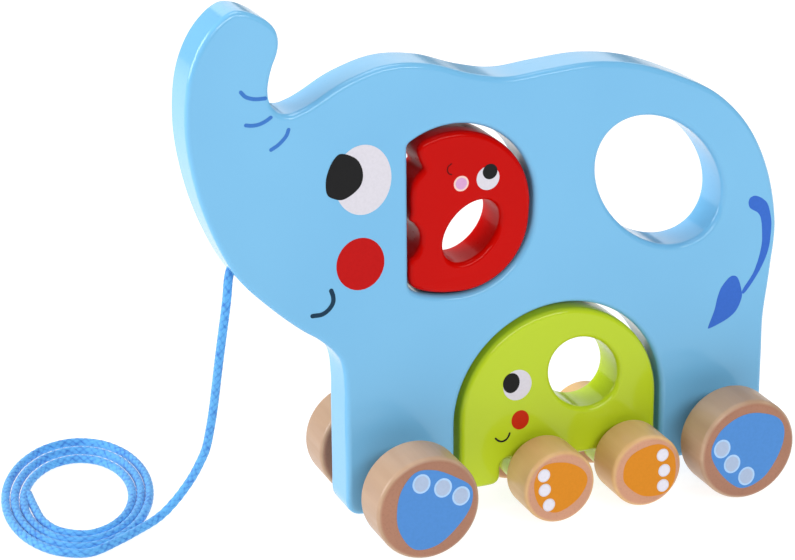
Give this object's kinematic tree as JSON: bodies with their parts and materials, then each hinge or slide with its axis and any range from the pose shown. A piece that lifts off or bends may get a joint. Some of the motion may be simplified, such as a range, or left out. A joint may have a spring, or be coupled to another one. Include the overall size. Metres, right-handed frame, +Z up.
{
  "type": "pull along toy",
  "caption": "Wooden pull along elephant toy: a flat mother elephant on wheels carries a rolling calf under its belly and a small baby in its side, pulled by a braided cord.",
  "frame": {"origin": "on the floor under the middle of the toy's outline, without the loose cord", "axes": "+X from the trunk to the tail, +Y away from the printed side, +Z up"},
  "size_m": [0.2915, 0.1496, 0.2038],
  "materials": {
    "blue_paint": "light blue painted plywood or solid board, satin lacquer",
    "green_paint": "yellow-green painted board, satin lacquer",
    "red_paint": "red painted board, satin lacquer",
    "natural_wood": "turned beech with a clear satin lacquer, grain along the axle",
    "blue_cord": "braided round cord, matt",
    "white_ink": "screen-printed ink, satin",
    "black_ink": "screen-printed ink, satin",
    "orange_ink": "screen-printed ink, satin",
    "dark_blue_ink": "screen-printed ink, satin",
    "paw_blue_ink": "screen-printed ink, satin",
    "red_ink": "screen-printed ink, satin",
    "pink_ink": "screen-printed ink, satin"
  },
  "bodies": {
    "root": {"mother_elephant": "blue_paint", "front_spacer_near": "natural_wood", "front_spacer_far": "natural_wood", "rear_spacer_near": "natural_wood", "rear_spacer_far": "natural_wood", "pull_cord": "blue_cord", "cord_coil": "blue_cord"},
    "front_axle": {"front_axle": "natural_wood", "front_wheel_near": "natural_wood", "front_wheel_far": "natural_wood"},
    "rear_axle": {"rear_axle": "natural_wood", "rear_wheel_near": "natural_wood", "rear_wheel_far": "natural_wood"},
    "calf": {"calf_elephant": "green_paint"},
    "calf_front_axle": {"calf_front_axle": "natural_wood", "calf_front_wheel_near": "natural_wood", "calf_front_wheel_far": "natural_wood"},
    "calf_rear_axle": {"calf_rear_axle": "natural_wood", "calf_rear_wheel_near": "natural_wood", "calf_rear_wheel_far": "natural_wood"},
    "baby": {"baby_elephant": "red_paint"}
  },
  "joints": [
    {"name": "front_axle_spin", "type": "hinge", "parent": "root", "child": "front_axle", "pos_m": [-0.0394, 0, 0.02], "axis": [0, 1, 0], "continuous": true},
    {"name": "rear_axle_spin", "type": "hinge", "parent": "root", "child": "rear_axle", "pos_m": [0.0914, 0, 0.02], "axis": [0, 1, 0], "continuous": true},
    {"name": "calf_slide", "type": "slide", "parent": "root", "child": "calf", "axis": [0, -1, 0], "range_m": [-0.06, 0.06]},
    {"name": "calf_front_axle_spin", "type": "hinge", "parent": "calf", "child": "calf_front_axle", "pos_m": [0.017, 0, 0.0144], "axis": [0, 1, 0], "continuous": true},
    {"name": "calf_rear_axle_spin", "type": "hinge", "parent": "calf", "child": "calf_rear_axle", "pos_m": [0.0533, 0, 0.0144], "axis": [0, 1, 0], "continuous": true},
    {"name": "baby_slide", "type": "slide", "parent": "root", "child": "baby", "axis": [0, -1, 0], "range_m": [-0.04, 0.04]}
  ]
}
